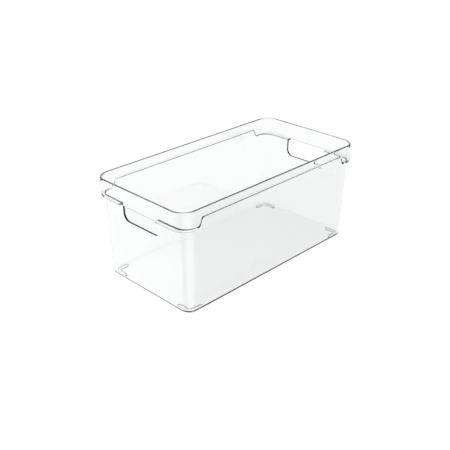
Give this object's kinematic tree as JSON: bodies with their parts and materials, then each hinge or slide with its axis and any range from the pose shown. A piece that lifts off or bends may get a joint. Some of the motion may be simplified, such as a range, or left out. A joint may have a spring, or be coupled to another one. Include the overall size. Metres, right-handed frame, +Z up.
{
  "type": "refrigerator storage bin",
  "caption": "Clear open-topped storage bin with a drafted rectangular body, a stepped-out collar, a hand opening under the collar in each short end, and L-shaped corner feet.",
  "frame": {"origin": "on the surface that the feet stand on, below the middle of the bin's outline", "axes": "+X along the length towards one hand opening, +Y across the width, +Z up"},
  "size_m": [0.322, 0.1648, 0.1404],
  "materials": {
    "clear_shell": "clear moulded styrene, polished, colourless, faintly grey at edges seen end-on",
    "clear_foot": "clear soft foot, satin"
  },
  "bodies": {
    "root": {"bin_shell": "clear_shell", "corner_foot_front_left": "clear_foot", "corner_foot_front_right": "clear_foot", "corner_foot_rear_left": "clear_foot", "corner_foot_rear_right": "clear_foot"}
  },
  "joints": []
}
